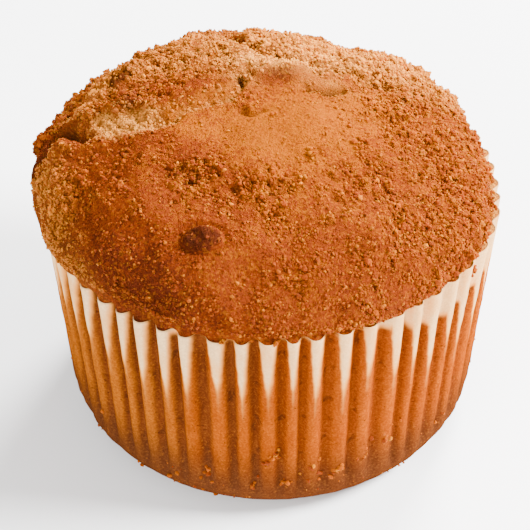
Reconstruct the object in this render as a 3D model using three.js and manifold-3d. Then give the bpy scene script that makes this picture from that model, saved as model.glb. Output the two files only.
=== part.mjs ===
// A large crumb-topped muffin in its fluted paper case.
// Millimetres, +Z up. The origin is the centre of the flat base of the case, which rests on z = 0.
// The camera side, the front, is -Y. The crown is split by baking cracks on its top and left.
import * as THREE from "three";
import { mergeVertices } from "three/addons/utils/BufferGeometryUtils.js";
import Module from "manifold-3d";

// Case
const RIM_RADIUS = 38; // to the outside of the ridges
const RIM_HEIGHT = 42.9;
const RIM_TILT = 1.8; // how much higher the rim stands on the right, +X, than in the middle
const RIM_DIP = 1.6; // how far it is pressed down at the back right
const RIM_DIP_AT = 32; // degrees, anticlockwise from +X seen from above, as are all angles here
const RIM_DIP_NARROW = 14; // a higher power makes a narrower dip
const FOOT_RADIUS = 34; // where the side would meet the table if the edge weren't rounded
const EDGE_ROUND = 8;
const PAPER = 0.3;
const FLUTES = 55;
const FLUTE_START = 0.89; // share of a flute by which the first one is turned from +X
const FLUTE_WANDER = [
  [0.1, 9, 1.0], [0.06, 23, 2.0],
]; // flutes aren't quite even: [share of a flute, waves round the case, phase]
const FLUTE_DEPTH_RIM = 1.8;
const FLUTE_DEPTH_FOOT = 0.9;
const FLUTE_CORNERS = [
  // share of the flute's pitch, 1 in the valley, which way the corner moves on an inner layer
  [0.0, 0, 1], [0.36, 0, -1], [0.52, 1, -1], [0.84, 1, 1],
];
const CORNER_SHIFT = 0.68; // how far it moves for each millimetre that the layer lies further in
const CASE_GAP = 0.32; // clear space between the cake and the paper
const FILL_OVER = 0.6; // how far the cake in the flutes reaches above the rim, into the crown
const RIM_CLEAR_INNER = 35.2; // the crown is cut away over the rim between these two radii
const RIM_CLEAR_OUTER = 38.5;
const RIM_CLEAR_SIDES = 72;

// Crown
const CROWN_CENTRE = new THREE.Vector2(-1.2, 0.3);
const CROWN_RADIUS = 37.2;
const CROWN_BASE = 43.2;
const CROWN_RISE = 16.4;
const CROWN_TUCK = 4; // how far the underside of the crown reaches below its widest ring
const CROWN_CURL = 1.45; // where the underside starts, as a share of the arc below
const CROWN_TILT = new THREE.Vector2(0.3, -0.25); // how much higher its widest ring stands at +X and +Y
const EDGE_SWELLS = [
  [1.5, 160, 4], [0.3, -14, 8], [-0.4, 28, 12], [-0.5, 200, 6],
]; // bulges and dents of its edge: [millimetres, degrees, narrowness]
const EDGE_LIFT = [0.9, -14, 6]; // where the edge stands higher, in the same order
const CROWN_ARC = 46; // length of the way from the top of the crown down to its widest ring
const CROWN_RINGS = 22;

// Crumbs large enough to see from a step away
const CRUMBS = 70;
const CRUMB_SMALLEST = 0.7;
const CRUMB_LARGEST = 1.35;
const CRUMB_SEED = 20;

// Places on the crown are on it rolled out flat round its top: x to the right, y to the back.
// The big crack opens between the edge of the front crust, its foot, and the flap behind, its lip.
const CRACK_FOOT = [
  [-47, -2], [-40, -0.6], [-34, 0.4], [-29, 0.5], [-23, 0.2], [-20, -0.8], [-16, -1.2],
  [-11.3, -0.5], [-10, 1.4], [-7, 2.2], [-3.9, 2.9], [-2.9, 5], [-2.6, 8.6],
];
const CRACK_LIP = [
  [-47, 7.6], [-40, 8.4], [-34, 8], [-29, 6.6], [-22, 5], [-20, 3.2], [-17, 3.7],
  [-14, 3], [-9, 4.5], [-4.6, 6.2], [-3.8, 8.6],
];
const CRACK_DEPTH = 2.8;
const CAVE_DEPTH = 1.6; // how much deeper its left end goes in under the flap
const FLAP_RISE = 1.1;
const FLAP_RISE_LEFT = 0.2;
const FLAP_FADE = 12; // over this length behind the lip the flap sinks back to the dome
const FRONT_SINK = 1.5; // how far the front crust sinks towards the foot
const FRONT_FADE = 7;
const WALL_RISE = 3.6; // on the right the flap's face is a slope instead of a step

// The smaller cracks.
const GROOVES = [
  {
    line: [[-6, 33], [-5, 25], [-3.5, 20], [-1, 15.6], [3.8, 13.4], [8, 12.6], [13, 10.5], [19, 9.5]],
    width: 1.2,
    depth: 1.7,
  },
  { line: [[-3.2, 7.2], [-1.6, 10.4], [1, 13], [3.2, 13.2], [6, 11.6], [8, 8.6]], width: 1, depth: 1.1 },
  { line: [[5.6, 5.6], [8.2, 4.6], [11.4, 5.4]], width: 1, depth: 1.3 },
];

// Bumps and hollows: [height, x, y, length, width, direction in degrees]
const SWELLS = [
  [1.0, 1.5, 9, 5.5, 3.4, -8], [-2.0, -5, 25, 1.6, 5.5, 8], [-1.4, 12, 27, 9, 9, 0],
  [-0.3, -1, 18, 6, 6, 0], [-1.2, -30, 15, 7, 9, 0], [0.6, -11, 24, 5, 7, 0],
  [1.5, -43.5, 6, 3, 4.5, 0], [0.6, -8.6, -23.5, 2, 1.5, 10], [0.8, -20.5, 14.6, 2, 1.3, 0],
  [0.8, -20.4, 6.2, 1.7, 1.4, 0], [-1, -9.6, -12.4, 1, 0.8, 0],
];

// Broad lumps: [height, wavelength, direction in degrees, phase in radians]
const LUMPS = [
  [0.32, 27, 20, 0.4], [0.3, 21, 95, 2.1], [0.26, 16, 150, 4.0],
  [0.2, 11.5, 60, 1.2], [0.18, 9.5, 125, 5.1], [0.15, 7.5, 5, 3.3],
];

const DEGREE = Math.PI / 180;
const wasm = await Module();
wasm.setup();

// Smooth step from 0 to 1 as x goes from a to b.
function ramp(a, b, x) {
  const t = Math.min(1, Math.max(0, (x - a) / (b - a)));
  return t * t * (3 - 2 * t);
}

// A repeatable random number generator, from 0 to 1.
function randomFrom(seed) {
  let state = seed >>> 0;
  return () => {
    state = (Math.imul(state, 1664525) + 1013904223) >>> 0;
    return state / 4294967296;
  };
}

// The distance from a point to an open line, positive to the left of its direction, and the share along it.
function fromLine(line, x, y) {
  let distance = Infinity;
  let side = 1;
  let along = 0;
  let run = 0;
  for (let i = 1; i < line.length; i++) {
    const [ax, ay] = line[i - 1];
    const dx = line[i][0] - ax;
    const dy = line[i][1] - ay;
    const length = Math.hypot(dx, dy);
    const t = Math.min(1, Math.max(0, ((x - ax) * dx + (y - ay) * dy) / (length * length)));
    const reach = Math.hypot(x - ax - t * dx, y - ay - t * dy);
    if (reach < distance) {
      distance = reach;
      side = dx * (y - ay) - dy * (x - ax) >= 0 ? 1 : -1;
      along = run + t * length;
    }
    run += length;
  }
  return { behind: distance * side, share: along / run };
}

// A soft round patch, 1 in its middle.
function patch(x, y, centreX, centreY, length, width, direction) {
  const c = Math.cos(direction * DEGREE);
  const s = Math.sin(direction * DEGREE);
  const u = ((x - centreX) * c + (y - centreY) * s) / length;
  const v = ((y - centreY) * c - (x - centreX) * s) / width;
  return Math.exp(-u * u - v * v);
}

// The big crack: the sunk front crust, the open floor and the raised flap.
function crackRelief(x, y) {
  const foot = fromLine(CRACK_FOOT, x, y);
  const lip = fromLine(CRACK_LIP, x, y);
  const open = 1 - ramp(0.955, 1, foot.share);
  const inside = ramp(0, 0.5, foot.behind) * ramp(0, 0.5, -lip.behind) * open;
  const across = Math.min(1, Math.max(0, foot.behind / Math.max(foot.behind - lip.behind, 0.2)));
  const cave = ramp(-25, -30, x) * ramp(0.1, 0.6, across);
  const wall = ramp(-15.5, -12, x) * across ** 1.3;
  const floor = (WALL_RISE * wall - CRACK_DEPTH - CAVE_DEPTH * cave) * inside;
  const flapRise = FLAP_RISE_LEFT + (FLAP_RISE - FLAP_RISE_LEFT) * ramp(-30, -17, x);
  const flap = flapRise * Math.exp(-Math.max(lip.behind, 0) / FLAP_FADE) * ramp(-0.5, 0.35, lip.behind) * open;
  const front = Math.exp(-Math.max(-foot.behind, 0) / FRONT_FADE) * (1 - ramp(0, 0.6, foot.behind)) * open;
  return floor + flap - FRONT_SINK * front;
}

// How far the crust stands out from the plain dome at a place on the rolled-out crown.
function relief(x, y) {
  let height = crackRelief(x, y);
  for (const [size, wave, direction, phase] of LUMPS) {
    const across = x * Math.cos(direction * DEGREE) + y * Math.sin(direction * DEGREE);
    height += size * Math.sin((across / wave) * 2 * Math.PI + phase);
  }
  for (const { line, width, depth } of GROOVES) {
    height -= depth * Math.exp(-((fromLine(line, x, y).behind / width) ** 2));
  }
  for (const [size, ...place] of SWELLS) height += size * patch(x, y, ...place);
  return height;
}

// max(0, cos)^power: a soft bump round the circle, 1 at the given angle in degrees.
function lobe(angle, at, power) {
  return Math.max(0, Math.cos(angle - at * DEGREE)) ** power;
}

// A point of the crown: arc is the way down from its top, and past CROWN_ARC it curls in underneath.
function crownPoint(arc, angle) {
  const lift = (Math.PI / 2) * (1 - arc / CROWN_ARC);
  let radius = CROWN_RADIUS;
  for (const [size, at, power] of EDGE_SWELLS) radius += size * lobe(angle, at, power);
  const rise = lift > 0 ? CROWN_RISE : CROWN_TUCK;
  const out = Math.cos(lift);
  const up = Math.sin(lift);
  const stand = relief(arc * Math.cos(angle), arc * Math.sin(angle)) * ramp(-0.35, 0.12, lift);
  const normal = new THREE.Vector2(out / radius, up / rise).normalize();
  const reach = radius * out + stand * normal.x;
  const [liftSize, liftAt, liftPower] = EDGE_LIFT;
  const slope = CROWN_TILT.x * Math.cos(angle) + CROWN_TILT.y * Math.sin(angle);
  const tilt = slope + liftSize * lobe(angle, liftAt, liftPower);
  return new THREE.Vector3(
    CROWN_CENTRE.x + reach * Math.cos(angle),
    CROWN_CENTRE.y + reach * Math.sin(angle),
    CROWN_BASE + tilt * (1 - Math.max(0, up)) + rise * up + stand * normal.y,
  );
}

// Collects points and triangles, and hands them over as a manifold-3d solid.
class Surface {
  constructor() {
    this.points = [];
    this.faces = [];
  }
  point(p) {
    this.points.push(p.x, p.y, p.z);
    return this.points.length / 3 - 1;
  }
  face(a, b, c) {
    this.faces.push(a, b, c);
  }
  // Joins two closed rings of equal length. The second lies further along the way the surface is built.
  band(first, second) {
    const n = first.length;
    for (let i = 0; i < n; i++) {
      const j = (i + 1) % n;
      this.face(first[i], second[i], second[j]);
      this.face(first[i], second[j], first[j]);
    }
  }
  // Closes a ring with triangles that meet at one point. turned flips them.
  fan(ring, centre, turned) {
    for (let i = 0; i < ring.length; i++) {
      const j = (i + 1) % ring.length;
      if (turned) this.face(ring[j], ring[i], centre);
      else this.face(ring[i], ring[j], centre);
    }
  }
  solid() {
    const mesh = new wasm.Mesh({
      numProp: 3,
      vertProperties: new Float32Array(this.points),
      triVerts: new Uint32Array(this.faces),
    });
    return new wasm.Manifold(mesh);
  }
}

// The height of the rim at an angle round the case.
function rimHeight(angle) {
  return RIM_HEIGHT + RIM_TILT * Math.cos(angle) - RIM_DIP * lobe(angle, RIM_DIP_AT, RIM_DIP_NARROW);
}

// The outside profile of the case at a ridge, from the flat base up to the rim, moved inwards by inset.
// Each entry is {radius, height as a share of the side, z, flute depth}.
function caseProfile(inset, top) {
  const lean = Math.atan2(RIM_RADIUS - FOOT_RADIUS, RIM_HEIGHT);
  const centreRadius = FOOT_RADIUS + EDGE_ROUND * Math.tan(lean) - EDGE_ROUND / Math.cos(lean);
  const round = EDGE_ROUND - inset;
  const steps = [0, 0.5, 1];
  const profile = steps.map((t) => {
    const a = -Math.PI / 2 + t * (Math.PI / 2 - lean);
    return {
      radius: centreRadius + round * Math.cos(a),
      z: EDGE_ROUND + round * Math.sin(a),
      depth: FLUTE_DEPTH_FOOT * t,
      rise: 0,
    };
  });
  profile.push({
    radius: RIM_RADIUS - inset / Math.cos(lean),
    z: RIM_HEIGHT + top,
    depth: FLUTE_DEPTH_RIM,
    rise: 1,
  });
  return profile;
}

// The angle, in radians, of a place counted in flutes from the first one.
function fluteAngle(count) {
  const even = ((count + FLUTE_START) / FLUTES) * 2 * Math.PI;
  let wander = 0;
  for (const [size, waves, phase] of FLUTE_WANDER) wander += size * Math.sin(waves * even + phase);
  return even - (wander / FLUTES) * 2 * Math.PI;
}

// Rings of points up a fluted wall. Each flute is a broad ridge and a narrower valley, two points each.
function fluteRings(surface, inset, top) {
  const shift = (CORNER_SHIFT * inset * FLUTES) / (2 * Math.PI * RIM_RADIUS);
  return caseProfile(inset, top).map(({ radius, z, depth, rise }) => {
    const ring = [];
    for (let i = 0; i < FLUTES; i++) {
      for (const [share, valley, sense] of FLUTE_CORNERS) {
        const angle = fluteAngle(i + share + sense * shift);
        const r = radius - valley * depth;
        const height = z + rise * (rimHeight(angle) - RIM_HEIGHT);
        ring.push(surface.point(new THREE.Vector3(r * Math.cos(angle), r * Math.sin(angle), height)));
      }
    }
    return ring;
  });
}

// A closed cup between two offsets of the case's outside face. margin lifts its rim.
function cup(outerInset, innerInset, margin) {
  const surface = new Surface();
  const outer = fluteRings(surface, outerInset, margin);
  const inner = fluteRings(surface, innerInset, margin);
  const under = surface.point(new THREE.Vector3(0, 0, outerInset));
  const floor = surface.point(new THREE.Vector3(0, 0, innerInset));
  surface.fan(outer[0], under, true);
  for (let k = 1; k < outer.length; k++) surface.band(outer[k], outer[k - 1]);
  surface.band(inner.at(-1), outer.at(-1));
  for (let k = 1; k < inner.length; k++) surface.band(inner[k - 1], inner[k]);
  surface.fan(inner[0], floor, false);
  return surface.solid();
}

// The cake inside the case: it fills the flutes and joins the crown just above the rim.
function caseFilling() {
  const surface = new Surface();
  const rings = fluteRings(surface, PAPER + CASE_GAP, FILL_OVER);
  const under = surface.point(new THREE.Vector3(0, 0, PAPER + CASE_GAP));
  const top = surface.point(new THREE.Vector3(0, 0, RIM_HEIGHT + 1));
  surface.fan(rings[0], under, true);
  for (let k = 1; k < rings.length; k++) surface.band(rings[k], rings[k - 1]);
  surface.fan(rings.at(-1), top, false);
  return surface.solid();
}

// The crown: rings of 6, 12, 18 ... points down to its widest ring, then one that curls in underneath.
function crown() {
  const surface = new Surface();
  const around = (count, arc) => {
    const ring = [];
    for (let i = 0; i < count; i++) ring.push(surface.point(crownPoint(arc, (i / count) * 2 * Math.PI)));
    return ring;
  };
  const apex = surface.point(crownPoint(0, 0));
  let inner = around(6, CROWN_ARC / CROWN_RINGS);
  surface.fan(inner, apex, false);
  for (let k = 2; k <= CROWN_RINGS; k++) {
    const outer = around(6 * k, (CROWN_ARC * k) / CROWN_RINGS);
    for (let sector = 0; sector < 6; sector++) {
      for (let i = 0; i < k; i++) {
        const a = outer[sector * k + i];
        const b = outer[(sector * k + i + 1) % outer.length];
        const c = inner[(sector * (k - 1) + i) % inner.length];
        surface.face(a, b, c);
        if (i < k - 1) surface.face(b, inner[(sector * (k - 1) + i + 1) % inner.length], c);
      }
    }
    inner = outer;
  }
  const curl = around(6 * CROWN_RINGS, CROWN_ARC * CROWN_CURL);
  surface.band(inner, curl);
  const under = surface.point(new THREE.Vector3(CROWN_CENTRE.x, CROWN_CENTRE.y, CROWN_BASE - CROWN_TUCK));
  surface.fan(curl, under, true);
  return surface.solid();
}

// The room the rim of the case needs: a plain tube with its top a gap above the rim.
function rimRoom() {
  const surface = new Surface();
  const bottom = CROWN_BASE - 2 * CROWN_TUCK;
  const ring = (radius, atTop) => {
    const points = [];
    for (let i = 0; i < RIM_CLEAR_SIDES; i++) {
      const angle = (i / RIM_CLEAR_SIDES) * 2 * Math.PI;
      const z = atTop ? rimHeight(angle) + CASE_GAP : bottom;
      points.push(surface.point(new THREE.Vector3(radius * Math.cos(angle), radius * Math.sin(angle), z)));
    }
    return points;
  };
  const outerFoot = ring(RIM_CLEAR_OUTER, false);
  const outerTop = ring(RIM_CLEAR_OUTER, true);
  const innerTop = ring(RIM_CLEAR_INNER, true);
  const innerFoot = ring(RIM_CLEAR_INNER, false);
  surface.band(outerTop, outerFoot);
  surface.band(innerTop, outerTop);
  surface.band(innerFoot, innerTop);
  surface.band(outerFoot, innerFoot);
  return surface.solid();
}

// How thickly crumbs lie at a place on the rolled-out crown, from 0 to 1. The golden top has few.
function crumbCover(x, y) {
  const frontArc = patch(x, y, 0, -13, 15, 5.5, 0);
  const right = ramp(9, 18, x + 0.25 * y) * ramp(-34, -20, y);
  const leftEdge = patch(x, y, -32, -8, 6, 8, 0);
  const back = ramp(4, 9, y - 0.12 * x);
  const goldenTop = patch(x, y, 0, -3.5, 11, 5, 0);
  const smoothLeft = patch(x, y, -17, -22, 11, 9, -30);
  const cover = 0.25 + 0.4 * frontArc + 0.5 * right + 0.4 * leftEdge + 0.6 * back;
  return Math.min(1, cover - 0.7 * goldenTop - 0.2 * smoothLeft);
}

// One crumb: an icosahedron with its corners pushed in and out, flattened along z.
function crumb(size, random) {
  const shape = new THREE.IcosahedronGeometry(size, 0);
  shape.deleteAttribute("normal");
  shape.deleteAttribute("uv");
  const merged = mergeVertices(shape);
  const surface = new Surface();
  const corner = new THREE.Vector3();
  const stretch = new THREE.Vector3(0.8 + 0.5 * random(), 0.8 + 0.5 * random(), 0.75);
  for (let i = 0; i < merged.attributes.position.count; i++) {
    corner.fromBufferAttribute(merged.attributes.position, i).multiply(stretch);
    surface.point(corner.multiplyScalar(0.85 + 0.3 * random()));
  }
  surface.faces.push(...merged.index.array);
  return surface.solid();
}

// Crumbs spread over the crust, largest first, each sunk into it and clear of the paper.
function crumbs() {
  const random = randomFrom(CRUMB_SEED);
  const made = [];
  const places = [];
  while (made.length < CRUMBS) {
    const arc = CROWN_ARC * 0.9 * Math.sqrt(random());
    const angle = 2 * Math.PI * random();
    const x = arc * Math.cos(angle);
    const y = arc * Math.sin(angle);
    const size = THREE.MathUtils.lerp(CRUMB_LARGEST, CRUMB_SMALLEST, made.length / CRUMBS);
    const crowded = places.some(([px, py]) => Math.hypot(px - x, py - y) < 2.2 * size);
    if (crowded || random() > crumbCover(x, y)) continue;
    places.push([x, y]);
    const at = crownPoint(arc, angle);
    const away = crownPoint(arc + 0.5, angle).sub(at);
    const round = crownPoint(arc, angle + 0.5 / Math.max(arc, 1)).sub(at);
    const normal = away.cross(round).normalize();
    const turn = new THREE.Quaternion().setFromUnitVectors(new THREE.Vector3(0, 0, 1), normal);
    const spin = new THREE.Quaternion().setFromAxisAngle(normal, 2 * Math.PI * random());
    const matrix = new THREE.Matrix4().compose(
      at.addScaledVector(normal, 0.12 * size),
      spin.multiply(turn),
      new THREE.Vector3(1, 1, 1),
    );
    made.push(crumb(size, random).transform(matrix.elements));
  }
  return made;
}

// The largest separate body of a solid, with any sealed hollow filled.
function largestBody(solid) {
  return solid.decompose().sort((a, b) => b.volume() - a.volume())[0];
}

// A manifold-3d solid as a named three.js mesh.
function toMesh(name, solid, material) {
  const { numProp, numVert, vertProperties, triVerts } = solid.getMesh();
  const positions = new Float32Array(numVert * 3);
  for (let i = 0; i < numVert; i++) {
    positions.set(vertProperties.subarray(i * numProp, i * numProp + 3), i * 3);
  }
  const geometry = new THREE.BufferGeometry();
  geometry.setAttribute("position", new THREE.BufferAttribute(positions, 3));
  geometry.setIndex(new THREE.BufferAttribute(new Uint32Array(triVerts), 1));
  geometry.computeVertexNormals();
  const mesh = new THREE.Mesh(geometry, material);
  mesh.name = name;
  return mesh;
}

const crust = new THREE.MeshStandardMaterial({ color: 0xb4601c, roughness: 0.85, metalness: 0 });
const paper = new THREE.MeshStandardMaterial({
  color: 0xcf8540,
  roughness: 0.6,
  metalness: 0,
  side: THREE.DoubleSide,
});

const crumbedCrown = wasm.Manifold.union([crown(), ...crumbs()]).subtract(rimRoom());
const cake = largestBody(caseFilling().add(crumbedCrown));

const muffin = new THREE.Group();
muffin.name = "muffin";
muffin.add(toMesh("cake", cake, crust));
muffin.add(toMesh("paper_case", cup(0, PAPER, 0), paper));

export default muffin;
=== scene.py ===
import math

import bpy
import numpy as np
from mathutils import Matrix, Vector


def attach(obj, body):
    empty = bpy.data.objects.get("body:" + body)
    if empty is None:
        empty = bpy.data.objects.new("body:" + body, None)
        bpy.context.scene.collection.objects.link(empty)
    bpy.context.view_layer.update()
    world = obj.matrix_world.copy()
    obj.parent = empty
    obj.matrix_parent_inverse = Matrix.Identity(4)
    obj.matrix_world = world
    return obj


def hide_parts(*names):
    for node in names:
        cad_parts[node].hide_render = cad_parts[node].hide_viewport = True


# Millimetres, +Z up, the camera looks along +Y. Meshes are scaled to metres when they are made.
MM = 0.001

# Paper case. A swell has a height, a direction in degrees and a power that makes it narrower. FLUTE_FADE is
# the share by which the flutes are shallower at the rim there.
RIM_RADIUS = 38.0
RIM_HEIGHT = 42.9
RIM_TILT = 1.8
RIM_DIP = (1.6, 32, 14)
RIM_FLARES = [(0.6, -24, 12), (-0.6, 5, 26)]
TONGUE_LENGTH = 12.5
TONGUE_WIDTH = 0.235  # half of it, as a share of the flutes' spacing
FOOT_RADIUS = 34.0
EDGE_ROUND = 8.0
FLUTES = 55
FLUTE_TURN = -1.2  # degrees from the front to the centre of the ridge nearest to it
FLUTE_DEPTH_RIM = 1.75
FLUTE_DEPTH_FOOT = 0.65
FLUTE_FADE = (0.5, -18, 8)
PAPER = 0.16
CASE_POINTS_PER_FLUTE = 16
CASE_LEAN = math.atan2(RIM_RADIUS - FOOT_RADIUS, RIM_HEIGHT)
SIDE_START = EDGE_ROUND * (1 - math.sin(CASE_LEAN))

# Crown
CENTRE_X = -1.2
CENTRE_Y = 0.3
CROWN_RADIUS = 37.2
CROWN_BASE = 43.2
CROWN_RISE = 16.4
CROWN_ARC = 46.0
CROWN_RINGS = 150
CROWN_BULGES = [(1.5, 160, 4), (1.7, -36, 8), (-0.7, 5, 26), (-0.2, 200, 6)]
CROWN_EDGE_SWELLS = [(0.9, -14, 6), (-2.4, 199, 26), (0.9, 238, 10)]
CASE_GAP = 0.1
BODY_LEVELS = (41, 38, 30, 20, 11)  # heights of the body's rings inside the case

# Lines on the crown rolled out flat round its top: x to the right, y to the back, in millimetres of arc.
CRACK_FOOT = [
    (-47, 3.0), (-40, 3.2), (-35.5, 2.6), (-33, 3.4), (-30.5, 2.6), (-28.2, 1.2), (-26.3, -0.4), (-23.5, 0.0),
    (-20, -0.8), (-16, -1.2), (-11.3, -0.5), (-10, 1.4), (-7, 2.2), (-3.9, 2.9), (-2.9, 5.0), (-2.6, 8.6),
]
CRACK_LIP = [
    (-47, 9.0), (-40, 9.6), (-36.4, 9.2), (-33, 8.6), (-29, 6.6), (-26, 5.6), (-22, 4.8), (-20, 3.4),
    (-17, 3.9), (-14, 3.0), (-9, 4.5), (-4.6, 6.2), (-3.8, 8.6),
]
BACK_CRACK = [(-6, 33), (-5, 25), (-3.5, 20), (-1, 15.6), (3.8, 13.4), (8, 12.6), (13, 10.5), (19, 9.5)]
SECOND_CRACK = [(-3.2, 7.2), (-1.6, 10.4), (1.0, 13.0), (3.2, 13.2), (6.0, 11.6), (8.0, 8.6)]
SMALL_CRACK = [(5.6, 5.6), (8.2, 4.6), (11.4, 5.4)]
LIP_NICK = [(-3.2, 1.6), (-1.7, 0.3), (0.6, 1.0)]

# The narrow cracks: line, width and depth.
NARROW_CRACKS = [
    (BACK_CRACK, 1.0, 1.7), (SECOND_CRACK, 0.7, 1.1), (SMALL_CRACK, 0.7, 0.8), (LIP_NICK, 0.6, 0.9),
]

# The big crack: how deep it is, and how far its floor climbs to the flap behind it.
CRACK_DEPTH = 1.5
FOOT_STEP = 1.3
CAVE_DEPTH = 1.8
WALL_RISE = 3.6
UNDER_FLAP_RISE = 2.4
PALE_FLOOR_RISE = 1.9
FLAP_RISE_LEFT = 0.2
FLAP_RISE_MORE = 0.9
FLAP_FADE = 12.0
SUNK_DEPTH = 1.5
SUNK_FADE = 7.0
FRONT_LIP = 0.5

# Soft patches on the rolled-out crown: x, y, width, depth if it differs, and turn in degrees.
CHIP = (-8.6, -23.5, 2.7, 2.1, 10)
CHIP_WITHOUT_GRAINS = (-8.6, -23.5, 2.6, 2.0, 10)
BROWN_LUMPS = [(1.0, (-19.9, 12.3, 2.4, 1.3, 20)), (1.0, (-18.5, 5.0, 2.0, 1.3, 10))]
CRUMB_CLUSTER = (-10, -11, 3.2)
SMOOTH_TOP = (0, -3.5, 11, 5)
FLAP_TOP = (-27, 10, 8, 4, 29)
ARC_RIDGE = (1.5, 11.4, 5.6, 1.9, -6)

# Rows of patches, each with its strength: first heights, then colours and how thickly crumbs lie.
BUMP_AND_NOTCH = [(1.0, (1.5, 9.0, 5.5, 3.4, -8)), (-2.0, (-5.0, 25.0, 1.4, 5.5, 8))]
HOLLOWS = [
    (1.0, (-9.6, -12.4, 1.0, 0.8)), (0.9, (-3.9, -14, 0.6)), (0.9, (-3.1, 7.6, 0.7, 0.9)),
    (0.35, (8.6, 4.8, 1.4, 0.7, 10)),
]
BROAD_FORMS = [
    (-1.4, (12, 27, 9, 9)), (-0.3, (-1, 18, 6, 6)), (-1.2, (-30, 15, 7, 9)), (0.6, (-11, 24, 5, 7)),
    (1.5, (-43.5, 6.0, 3.0, 4.5)),
]
FOOT_LUMP = (-33.5, 0.2, 3.2, 2.6)
BROWN_PATCHES = [
    (0.34, (-19, -34, 12, 8)), (0.14, (18, -33, 14, 8)), (0.15, (-10, -10, 7, 5)),
    (-0.42, (0, -3.5, 13, 6.5)), (-0.25, (14, 1, 8, 5)), (0.28, (-20, -20, 12, 10, -30)),
    (0.25, (-20, -3.5, 10, 2.6)), (0.25, (-20, 12, 14, 6)), (0.85, (2, 8.4, 2.6, 1.8)), (0.45, CRUMB_CLUSTER),
]
BROWN_ON_BUMP = (2, 8.3, 2.6, 1.6)
PALE_AT_CRACKS = [(1.4, ARC_RIDGE), (0.8, (-3, 7.6, 2.2, 1.8))]
# Pale patches behind the cracks; the one at the back right is also a painted highlight from the lamp behind.
PALE_BEHIND = [(0.55, (9, 14.5, 6, 2.6)), (0.4, (8, 6.5, 4, 2.0, -20))]
# Where a highlight from the lamps is painted on the crust: at the back right and on the flap.
GLARE_RIGHT = (12, 20, 26, 13, 5)
GLARE_FLAP = (-26.5, 10.0, 6.5, 3.0, 29)
COVER_PATCHES = [
    (0.16, (0, -13, 15, 5.5)), (0.22, (-32, -8, 6, 8)), (0.45, CRUMB_CLUSTER), (-0.35, FLAP_TOP),
    (-0.26, (-18, -25, 15, 12, -30)), (-0.42, SMOOTH_TOP), (-0.6, (1.0, 9.8, 5.5, 2.6, -6)),
    (-0.42, (8, 6, 4, 2, -20)),
]

# Broad lumps: height, wavelength, direction in degrees, phase.
LUMPS = [
    (0.32, 27, 20, 0.4), (0.30, 21, 95, 2.1), (0.26, 16, 150, 4.0),
    (0.20, 11.5, 60, 1.2), (0.18, 9.5, 125, 5.1), (0.15, 7.5, 5, 3.3),
]

# The thin flake at the left edge: its upper end, how far it runs forwards and down, and half its thickness.
FLAKE_TOP = (-37.7, 5.6, 47.6)
FLAKE_FORWARDS = 6.3
FLAKE_DOWN = 5.7
FLAKE_HALF = 0.22
FLAKE_ROWS = 26
FLAKE_COLUMNS = 12

# How many grains or groups of crumbs there are of each kind on the crown.
SUGAR_GRAINS = 22000
SMALL_GROUPS = 1500
TORN_GROUPS = 800
CLUMPS = 480

# Crumbs on the paper, and those that lie in groups: direction in degrees, height, spread and how many.
PAPER_CRUMBS = 260
PAPER_CRUMB_PATCHES = [
    (271.3, 15.6, 0.9, 16), (288, 10.4, 1.0, 11), (265, 7.8, 0.8, 7), (274, 8.8, 0.6, 5), (268, 14, 1.0, 6),
    (296, 12.3, 2.0, 9), (303, 14.3, 2.0, 8), (281, 11, 2.5, 9), (252, 8.5, 1.5, 5), (244, 7.5, 1.5, 4),
    (258.2, 42.9, 0.45, 7), (271.7, 43.1, 0.5, 7), (265.3, 42.9, 0.35, 3), (292, 43.1, 0.5, 4),
    (330, 41.5, 1.0, 5),
]

# Colours as the linear numbers that the shaders work in: crust, paper, then crumbs.
GOLDEN = (0.308, 0.070, 0.0003)
ORANGE = (0.170, 0.0268, 0.0042)
BROWNED = (0.082, 0.0142, 0.0049)
# DARK is painted shade in the crust's hollows and cracks, the chips' own colour, and specks on the paper.
DARK = (0.035, 0.0088, 0.0038)
PALE = (0.56, 0.212, 0.028)
PALE_SHADE = (0.35, 0.112, 0.0185)
# The next two colours are for crumbly crust: the first on its raised grains, partly a painted highlight, the
# second painted shade in the gaps between the grains and in pits.
SUGAR_AND_HIGHLIGHT = (0.36, 0.089, 0.0012)
CRUMB_GAP_SHADE = (0.078, 0.0150, 0.0040)
RIDGE = (0.290, 0.0585, 0.0002)
RIDGE_DEEP = (0.210, 0.0360, 0.0006)
# The next two colours are painted shade in the flutes' valleys, and the one after them paints spots of deeper
# shade there.
SHADED_VALLEY = (0.106, 0.0280, 0.0062)
SHADED_VALLEY_DEEP = (0.058, 0.0155, 0.0046)
VALLEY_SHADE_SPOT = (0.040, 0.0110, 0.0042)
BASE_PAPER = (0.078, 0.0240, 0.0076)
DRY_PAPER = (0.71, 0.465, 0.220)
DRY_PAPER_SHADE = (0.58, 0.36, 0.17)
GOLD_PAPER = (0.268, 0.077, 0.0045)
WARM_RIDGE = (0.305, 0.055, 0.0002)
WARM_PAPER = (0.195, 0.0310, 0.0006)
FIBRE_SHADE = (0.72, 0.66, 0.72)
FLECK = (0.42, 0.12, 0.0016)
PEACH = (0.58, 0.22, 0.040)
GLINT = (1.0, 0.55, 0.25)
TAN = (0.275, 0.057, 0.0006)
LIGHT = (0.45, 0.136, 0.0022)
RUST = (0.165, 0.0262, 0.0026)
BROWN_CRUMB = (0.080, 0.0155, 0.0045)
# A painted highlight, mixed into the grains where the painted glare lies.
PAINTED_GLARE = (0.94, 0.342, 0.033)
STUDIO_FLOOR = (0.95, 0.95, 0.95)
LIGHT_DEPTH = 0.8  # how far light spreads inside crust and crumbs

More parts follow.
